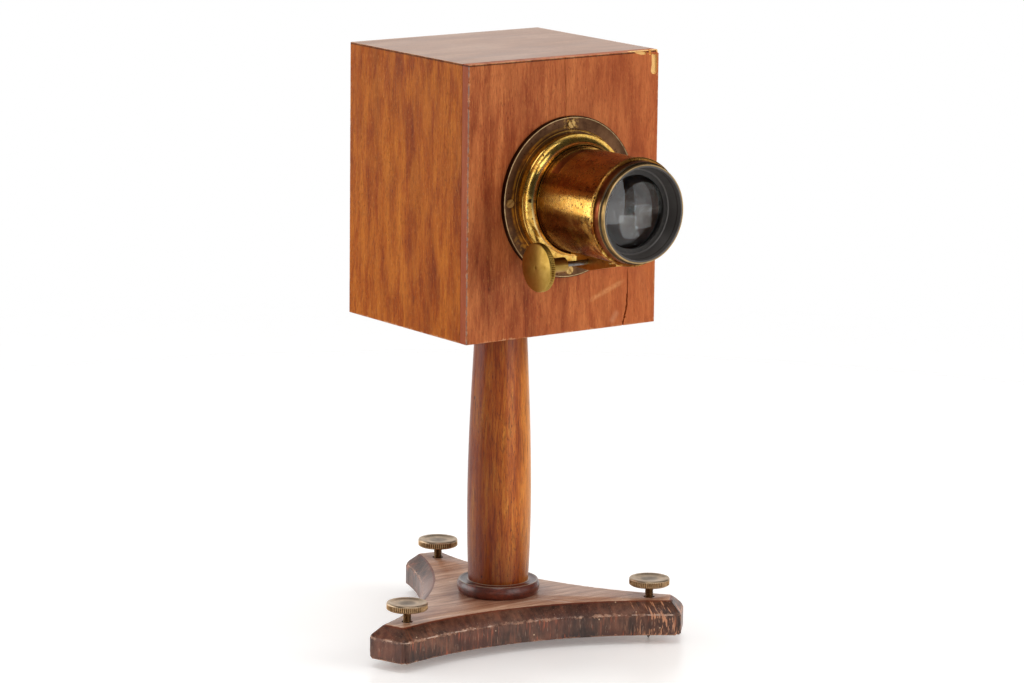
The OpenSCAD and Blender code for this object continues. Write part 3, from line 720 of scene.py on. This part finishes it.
def round_edges(bm, width, segments=2, wanted=lambda edge: True, clamp=True):
    """Bevels the wanted edges where the faces turn by more than 30 degrees."""
    edges = [
        e for e in bm.edges
        if len(e.link_faces) == 2 and e.calc_face_angle() > math.radians(30) and wanted(e)
    ]
    bmesh.ops.bevel(
        bm, geom=edges, offset=width, segments=segments, affect="EDGES", clamp_overlap=clamp
    )


def rounded(node, material, body, width=0.3):
    """The CAD node with its sharp edges rounded off."""
    bm = cad_shape(node)
    round_edges(bm, width)
    return publish(node + "_finished", bm, material, body, 20, [node])


def lathe(bm, profile, segments, matrix=Matrix(), radius_at=None, closed=True):
    """Turns (radius, height) points round local z. radius_at(r, z, turn) may change a radius."""
    rings = []
    for r, z in profile:
        if r == 0:
            rings.append([bm.verts.new(matrix @ Vector((0, 0, z)))])
            continue
        ring = []
        for k in range(segments):
            turn = k / segments
            rr = radius_at(r, z, turn) if radius_at else r
            angle = 2 * math.pi * turn
            point = Vector((rr * math.cos(angle), rr * math.sin(angle), z))
            ring.append(bm.verts.new(matrix @ point))
        rings.append(ring)
    pairs = list(zip(rings, rings[1:]))
    if closed:
        pairs.append((rings[-1], rings[0]))
    for low, high in pairs:
        for k in range(segments):
            order = ((low, k), (low, k + 1), (high, k + 1), (high, k))
            corners = dict.fromkeys(ring[i % len(ring)] for ring, i in order)
            if len(corners) > 2:
                bm.faces.new(list(corners))


def knurl(teeth, depth, low, high, radius):
    """A radius_at for straight knurling on the points at that radius between two heights."""
    def radius_at(r, z, turn):
        if abs(r - radius) > 0.05 or not low <= z <= high:
            return r
        return r - depth * (0.5 + 0.5 * math.cos(2 * math.pi * turn * teeth))
    return radius_at


def cut(piece, cutters):
    """Takes the cutters out of a piece. Each is a bmesh in millimetres."""
    made = []
    for bm in cutters:
        bmesh.ops.transform(bm, matrix=Matrix.Scale(MM, 4), verts=bm.verts)
        bmesh.ops.recalc_face_normals(bm, faces=bm.faces)
        mesh = bpy.data.meshes.new("cutter")
        bm.to_mesh(mesh)
        bm.free()
        tool = bpy.data.objects.new("cutter", mesh)
        bpy.context.collection.objects.link(tool)
        modifier = piece.modifiers.new("cut", "BOOLEAN")
        modifier.operation = "DIFFERENCE"
        modifier.solver = "EXACT"
        modifier.object = tool
        made.append(tool)
    graph = bpy.context.evaluated_depsgraph_get()
    result = bpy.data.meshes.new_from_object(piece.evaluated_get(graph))
    piece.modifiers.clear()
    piece.data = result
    for tool in made:
        bpy.data.objects.remove(tool)


def chip(corners):
    """A cutter on (x, z, depth) corners, from before the box's front back to each depth."""
    bm = bmesh.new()
    near = [bm.verts.new((x, FRONT_Y - 1, z)) for x, z, depth in corners]
    far = [bm.verts.new((x, FRONT_Y + depth, z)) for x, z, depth in corners]
    bm.faces.new(near)
    count = len(corners)
    centre = bm.verts.new(sum((v.co for v in far), Vector()) / count)
    for k in range(count):
        following = (k + 1) % count
        bm.faces.new([near[k], near[following], far[following], far[k]])
        bm.faces.new([far[k], far[following], centre])
    return bm


def crack(points, width, depth, steps, spread):
    """A cutter for a ragged slit along a line of (x, z) points."""
    line = []
    for (x0, z0), (x1, z1) in zip(points, points[1:]):
        for k in range(steps):
            t = k / steps
            x = x0 + (x1 - x0) * t + random.uniform(-spread, spread)
            line.append((x, z0 + (z1 - z0) * t))
    line.append(points[-1])
    left, right = [], []
    for k, (x, z) in enumerate(line):
        share = min(1.0, 0.25 + 2.5 * k / len(line))
        half = width / 2 * share * random.uniform(0.6, 1.3)
        left.append((x - half, z))
        right.append((x + half, z))
    outline = left + right[::-1]
    bm = bmesh.new()
    near = [bm.verts.new((x, FRONT_Y - 1, z)) for x, z in outline]
    far = [bm.verts.new((x, FRONT_Y + depth, z)) for x, z in outline]
    count = len(left)
    for k in range(count - 1):
        a, b, c, d = k, k + 1, 2 * count - 2 - k, 2 * count - 1 - k
        bm.faces.new([near[a], near[b], near[c], near[d]])
        bm.faces.new([far[a], far[b], far[c], far[d]])
        bm.faces.new([near[a], near[b], far[b], far[a]])
        bm.faces.new([near[d], near[c], far[c], far[d]])
    bm.faces.new([near[0], near[-1], far[-1], far[0]])
    bm.faces.new([near[count - 1], near[count], far[count], far[count - 1]])
    return bm


# ---- Pieces ----


def make_front_board(material):
    """The front board, with chips out of its upper right corner and two cracks."""
    piece = rounded("front_board", material, "camera")
    splinter = [
        (58.0, 322.2, 0.5), (59.6, 321.6, 0.9), (61.9, 321.4, 1.0), (61.9, 315.0, 1.1),
        (61.8, 311.6, 0.9), (60.6, 310.6, 0.6), (58.6, 311.0, 0.4), (57.6, 312.4, 0.5),
        (58.2, 316.0, 0.8),
    ]
    flake = [
        (46.0, 323.5, 0.4), (50.0, 323.7, 0.7), (54.2, 323.6, 0.8), (54.4, 321.9, 0.5),
        (51.0, 321.8, 0.5), (48.0, 322.7, 0.3),
    ]
    corner = [
        (60.2, 325.5, 1.6), (64.5, 325.5, 2.0), (64.5, 321.9, 1.2), (62.2, 322.2, 0.7),
        (61.4, 323.0, 1.0),
    ]
    notch = [
        (55.9, 325.5, 2.6), (57.9, 325.5, 2.6), (57.6, 321.8, 2.2), (56.8, 321.4, 1.6),
        (56.1, 322.0, 2.0),
    ]
    long_crack = [(44.4, 205.5), (44.3, 191.7), (43.9, 184.5), (42.6, 179.5), (41.2, 173.0)]
    short_crack = [(0.9, 291.0), (0.8, 306.0), (-0.3, 317.0), (-0.2, 325.0)]
    cut(piece, [
        chip(splinter), chip(flake), chip(corner), chip(notch),
        crack(long_crack, width=1.15, depth=5.0, steps=7, spread=0.2),
        crack(short_crack, width=0.4, depth=2.0, steps=5, spread=0.1),
    ])


def make_base(material):
    """The base plate, its corners rounded and its edges nibbled by use."""
    bm = cad_shape("base_plate")
    slivers = [v for v in bm.verts if v.co.xy.length > 85 and v.co.z > SHOULDER_Z - 0.1]
    bmesh.ops.remove_doubles(bm, verts=slivers, dist=0.7)

    def upright_at_tip(edge):
        a, b = (v.co for v in edge.verts)
        return min(a.xy.length, b.xy.length) > 80 and abs(a.z - b.z) > 4

    def clear_of_pivot(edge):
        return max(v.co.xy.length for v in edge.verts) > 30

    round_edges(bm, 1.9, 4, upright_at_tip, clamp=False)
    round_edges(bm, 0.6, 2, clear_of_pivot, clamp=False)
    long_edges = [
        e for e in bm.edges
        if e.calc_length() > 4 and any(f.calc_area() < 12 for f in e.link_faces)
    ]
    bmesh.ops.subdivide_edges(bm, edges=long_edges, cuts=5, use_grid_fill=False)
    for v in bm.verts:
        turns = [e.calc_face_angle(0) for e in v.link_edges if len(e.link_faces) == 2]
        if v.co.xy.length > 40 and max(turns, default=0) > math.radians(14):
            bite = noise.noise(v.co * 0.35) + 0.6 * noise.noise(v.co * 1.1)
            inward = Vector((v.co.x, v.co.y, v.co.z - BASE_T / 2)).normalized()
            v.co -= inward * max(0.0, bite) * 0.6
    publish("base_finished", bm, material, "base", 22, ["base_plate"])


def column_radius(s):
    """Radius of the column at a distance below the box: thin above, widest at 104 mm."""
    neck_r, belly_r, foot_r, belly_s = 14.2, 17.7, 16.65, 104
    if s < belly_s:
        return neck_r + (belly_r - neck_r) * math.sin(math.pi / 2 * (s / belly_s) ** 1.12)
    return belly_r - (belly_r - foot_r) * ((s - belly_s) / (COLUMN_H - RING_H - belly_s)) ** 2


def make_column(material):
    """The column, with a spigot in the foot ring, a tenon in the box and a socket for the pivot."""
    bm = bmesh.new()
    spigot_r, tenon_r, hole_r, socket_r, socket_h = 15.9, 9.0, 2.5, 7.5, 22
    shaft_h, steps = COLUMN_H - RING_H, 60
    depths = [shaft_h * (1 - k / steps) for k in range(steps + 1)]
    profile = [(socket_r, BASE_T), (spigot_r, BASE_T), (spigot_r, BASE_T + RING_H + 0.1)]
    profile += [(column_radius(s), BOX_Z - s) for s in depths]
    profile += [(tenon_r, BOX_Z), (tenon_r, BOX_Z + BOARD_T), (hole_r, BOX_Z + BOARD_T)]
    profile += [(hole_r, BASE_T + socket_h), (socket_r, BASE_T + socket_h)]
    lathe(bm, profile, 128)
    publish("column_turned", bm, material, "camera", 35, ["column"])


def make_ring(material):
    """The foot ring: a half round with a shallow ledge on top."""
    bm = bmesh.new()
    bore, outer, bead_r, bead_z = 16.05, 23.0, 5.9, BASE_T + 4.1
    low, high, steps = -44, 34.8, 24
    angles = [math.radians(low + (high - low) * k / steps) for k in range(steps + 1)]
    centre = outer - bead_r
    profile = [(bore, BASE_T), (centre + bead_r * math.cos(angles[0]), BASE_T)]
    profile += [(centre + bead_r * math.cos(a), bead_z + bead_r * math.sin(a)) for a in angles[1:]]
    ledge = [(21.5, 7.5), (20.9, 7.2), (18.4, 6.9), (17.4, 7.1), (17.0, 7.45), (bore, RING_H)]
    profile += [(r, BASE_T + height) for r, height in ledge]
    lathe(bm, profile, 128)
    publish("foot_ring_turned", bm, material, "camera", 40, ["foot_ring"])


def make_levelling_screw(number, material):
    """A thumbscrew with a knurled, dished head and a threaded shank."""
    at = Matrix.Translation((*screw_place(number), 0))
    bm = bmesh.new()
    teeth = 60
    dish = [
        (0, 0.85), (4, 0.8), (6.6, 0.65), (8.0, 0.45), (8.8, 0.2), (9.3, 0.05), (9.8, 0), (10.5, 0),
        (10.9, 0.15), (11.1, 0.45), (HEAD_R, 0.7),
    ]
    profile = [(r, HEAD_TOP - drop) for r, drop in dish]
    profile += [(HEAD_R, HEAD_TOP - 1.2 - 0.4 * row) for row in range(6)]
    underside = [(HEAD_R, 1.4), (11.0, 1.2), (10.3, 0.8), (2.8, 0), (0, 0)]
    profile += [(r, HEAD_Z + height) for r, height in underside]
    knurling = knurl(teeth, 0.42, HEAD_Z + 1.5, HEAD_TOP - 0.9, HEAD_R)
    lathe(bm, profile, teeth * 8, at, knurling, closed=False)

    pitch, crest_r, depth, rows_per_mm = 1.0, 2.33, 0.42, 8
    start, rows = 0.1, int((HEAD_Z + 0.5) * rows_per_mm)
    shank = [(0, start)] + [(crest_r, start + row / rows_per_mm) for row in range(rows)]
    shank += [(0, HEAD_Z + 0.4)]

    def thread(r, z, turn):
        wave = (z / pitch + turn) % 1.0
        return crest_r - depth * abs(2 * wave - 1) ** 1.5

    lathe(bm, shank, 40, at, thread, closed=False)
    name = "levelling_screw_%d" % number
    publish(name + "_knurled", bm, material, "screw_%d" % number, 32, [name])


def make_knob(material):
    """The focusing knob: a flat face, a knurled rim and a plain hub."""
    bm = bmesh.new()
    teeth, back, bore = 80, 33.9, 1.45
    face = [
        (0, 0.05), (0.5, 0.05), (0.55, 0.35), (0.9, 0.35), (0.95, 0), (12.5, 0), (12.85, 0.15),
        (13.1, 0.45),
    ]
    profile = [(r, KNOB_FACE - drop) for r, drop in face]
    profile += [(KNOB_R, KNOB_FACE - 0.6 - 0.38 * row) for row in range(6)]
    profile += [(13.1, back + 0.2), (12.8, back), (4.6, back), (4.2, back - 0.3), (4.0, back - 0.8)]
    profile += [(4.0, 18.9), (3.6, 18.5), (bore, 18.5), (bore, 36.0), (0, 36.0)]
    knurling = knurl(teeth, 0.36, back + 0.3, KNOB_FACE - 0.55, KNOB_R)
    lathe(bm, profile, teeth * 6, KNOB_AXIS, knurling, closed=False)
    publish("focus_knob_knurled", bm, material, "pinion", 32, ["focus_knob"])


def make_flange(material):
    bm = bmesh.new()
    bore = 31
    profile = [
        (bore, 0), (FLANGE_R, 0), (FLANGE_R, 1.9), (43.72, 2.2), (43.5, 2.42), (43.2, 2.5),
        (36.5, 2.5), (36.25, 2.42), (36.05, 2.2), (STEP_R, 2.1), (bore, 2.1),
    ]
    lathe(bm, profile, 180, LENS_AXIS)
    publish("flange_turned", bm, material, "camera", 35, ["flange"])


def make_milling(name, u, radius, width, teeth, material, body):
    """A thin band of fine milling laid over an edge of the lens, centred at u along its axis."""
    bm = bmesh.new()
    profile = [(radius, u + width * share) for share in (-1 / 2, -1 / 6, 1 / 6, 1 / 2)]
    profile = [(radius - 0.5, u - width / 2)] + profile + [(radius - 0.5, u + width / 2)]
    milling = knurl(teeth, 0.12, u - width / 2, u + width / 2, radius)
    lathe(bm, profile, teeth * 4, LENS_AXIS, milling)
    publish(name, bm, material, body, 40)


# ---- Stage, in metres ----

FLOOR_R = 1.3
MIDDLE = (0, -0.02, 0.2)
BY_LENS = (0, -0.1, 0.25)

# name, position, target, width and height, watts, and the rays that don't see the light
LIGHTS = (
    ("back_left", (-0.92, 0.88, 0.26), (0, 0.1, 0.26), (1.2, 0.54), 8, None),
    ("key_right", (1.3, -1.5, 0.8), MIDDLE, (1.6, 1.5), 20, "visible_glossy"),
    ("front_panel", (0.25, -1.65, 0.3), BY_LENS, (1.0, 1.1), 8, "visible_diffuse"),
    ("side_panel", (1.45, -1.45, 0.22), BY_LENS, (0.75, 0.7), 1.5, "visible_diffuse"),
    ("overhead", (-0.72, -1.05, 1.6), BY_LENS, (0.8, 0.8), 6, "visible_diffuse"),
    ("top", (0.0, -0.1, 1.5), MIDDLE, (1.2, 1.2), 10, "visible_glossy"),
)

CAMERA_AZIMUTH, CAMERA_ELEVATION, CAMERA_ROLL = (math.radians(v) for v in (-35.92, 11.188, 0.677))
CAMERA_TARGET = Vector((0.00759, 0.0, 0.1593))
CAMERA_DISTANCE = 2.42706
FOCAL_LENGTH = 154.7
SENSOR_WIDTH = 36


def make_floor(material):
    bm = bmesh.new()
    bmesh.ops.create_circle(bm, cap_ends=True, radius=FLOOR_R, segments=64)
    mesh = bpy.data.meshes.new("floor")
    bm.to_mesh(mesh)
    bm.free()
    mesh.materials.append(material)
    floor = bpy.data.objects.new("floor", mesh)
    floor.location.z = FLOOR_Z * MM
    bpy.context.collection.objects.link(floor)


def make_lights():
    for name, position, target, size, watts, unseen_by in LIGHTS:
        light = bpy.data.lights.new(name, "AREA")
        light.shape = "RECTANGLE"
        light.size, light.size_y = size
        light.energy = watts
        lamp = bpy.data.objects.new(name, light)
        lamp.location = position
        facing = Vector(target) - Vector(position)
        lamp.rotation_euler = facing.to_track_quat("-Z", "Y").to_euler()
        lamp.visible_camera = False
        if unseen_by:
            setattr(lamp, unseen_by, False)
        bpy.context.collection.objects.link(lamp)


def make_world():
    """White to look at, even light for matt surfaces, and for mirrors a bright back, a darker
    front and a white floor."""
    world = bpy.data.worlds.new("studio")
    world.use_nodes = True
    world.cycles.sampling_method = "NONE"
    bpy.context.scene.world = world
    nodes = Nodes(world.node_tree)
    x, y, z = nodes.node(
        "ShaderNodeSeparateXYZ", nodes.node("ShaderNodeTexCoord").outputs["Generated"]
    ).outputs
    behind = nodes.total((0.586, x), (0.81, y))
    backdrop = nodes.product(nodes.step(behind, 0.55, 0.9), nodes.fall(z, 0.45, 0.75))
    # the floor carries on in front, to about 48 degrees on the right
    past_floor = nodes.total((0.66, x), (0.75, y))
    floor = nodes.product(
        nodes.fall(past_floor, -0.02, 0.02), nodes.step(z, -0.03, 0.0, 0.6, 0.0),
        nodes.fall(y, -0.3, 0.1),
    )
    mirrored = nodes.math("MAXIMUM", nodes.step(backdrop, 0.0, 1.0, 0.05, 1.0), floor)
    path = nodes.node("ShaderNodeLightPath").outputs
    matt = nodes.product(path["Is Diffuse Ray"], 0.5)
    glossy = nodes.product(mirrored, nodes.math("SUBTRACT", 1.0, path["Is Diffuse Ray"]))
    strength = nodes.math("MAXIMUM", path["Is Camera Ray"], nodes.math("ADD", glossy, matt))
    background = nodes.node("ShaderNodeBackground", WHITE, strength)
    nodes.node("ShaderNodeOutputWorld", background.outputs[0])


def make_camera():
    level = Vector((math.cos(CAMERA_AZIMUTH), math.sin(CAMERA_AZIMUTH), 0))
    ahead = Vector((math.sin(CAMERA_AZIMUTH), -math.cos(CAMERA_AZIMUTH), 0))
    back = ahead * math.cos(CAMERA_ELEVATION) + Vector((0, 0, math.sin(CAMERA_ELEVATION)))
    right = math.cos(CAMERA_ROLL) * level + math.sin(CAMERA_ROLL) * back.cross(level)
    turn = Matrix((right, back.cross(right), back)).transposed().to_4x4()
    camera = bpy.data.objects.new("camera", bpy.data.cameras.new("camera"))
    camera.matrix_world = Matrix.Translation(CAMERA_TARGET + back * CAMERA_DISTANCE) @ turn
    camera.data.sensor_width = SENSOR_WIDTH
    camera.data.sensor_fit = "HORIZONTAL"
    camera.data.lens = FOCAL_LENGTH
    camera.data.clip_start = 0.05
    bpy.context.collection.objects.link(camera)
    bpy.context.scene.camera = camera


def finish_nodes(material, *nodes):
    """Gives CAD nodes their finish."""
    for node in nodes:
        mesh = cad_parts[node].data
        mesh.materials.clear()
        mesh.materials.append(material)


# ---- The scene ----

random.seed(7)
bpy.context.scene.view_settings.view_transform = "Standard"
bpy.context.scene.view_settings.look = "None"
make_camera()
make_world()
make_lights()
make_floor(floor_paper())

box_wood = side_wood()
lacquered = jacket_brass()
cell = cell_brass()
screw_heads = levelling_screw_brass()

make_front_board(front_wood_with_painted_sheen())
for board in ("left_board", "right_board", "bottom_board"):
    rounded(board, box_wood, "camera")
rounded("top_board", top_wood(), "camera")
rounded("screen_frame", box_wood, "rear_door", 0.5)
make_base(base_wood())
make_column(column_wood())
make_ring(ring_wood())
for number in (1, 2, 3):
    make_levelling_screw(number, screw_heads)
make_knob(knob_brass())
make_flange(flange_brass())
make_milling("jacket_milling", 59.7, 29.24, 1.0, 240, lacquered, "camera")
make_milling("rim_milling", 66.6, 26.44, 1.5, 220, cell, "lens")

chamber_tones = ((20, 13, 10), (32, 21, 16), (48, 32, 24))
finish_nodes(Wood("chamber_wood", ALONG_Z, chamber_tones, seed=8).polish(0.55, 0.75), "stop_frame")
finish_nodes(lacquered, "jacket")
finish_nodes(housing_brass(), "pinion_housing")
finish_nodes(
    Brass("screw_brass", (226, 186, 118), (150, 114, 66), "y", 0.0, 0.8).polish(0.34, 0.5),
    "flange_screws", "housing_screws", "clip_screws", "hinge_screws_box", "hinge_screws_door",
    "button_screw",
)
finish_nodes(
    Brass("plain_brass", (208, 168, 92), (164, 120, 58), "z", 0.002, 0.6).polish(0.3, 0.46),
    "screw_bushes", "pivot_screw", "pivot_bush", "column_washer", "screen_clips", "door_pull",
    "hinge_leaves_box", "hinge_leaves_door", "turn_button", "rack",
)
finish_nodes(
    steel(), "pivot_washer", "column_screw", "hinge_pins", "pinion", "screw_point_1",
    "screw_point_2", "screw_point_3",
)
finish_nodes(red_lacquer(), "lens_tube")
finish_nodes(cell, "front_cell")
finish_nodes(blackened(), "front_ring", "rear_cell", "rear_spacer", "rear_ring")
finish_nodes(lens_glass("lens_glass", 1.52), "front_crown")
finish_nodes(lens_glass("inner_glass", 1.03), "front_flint", "rear_flint", "rear_crown")
finish_nodes(ground_glass(), "focusing_screen")
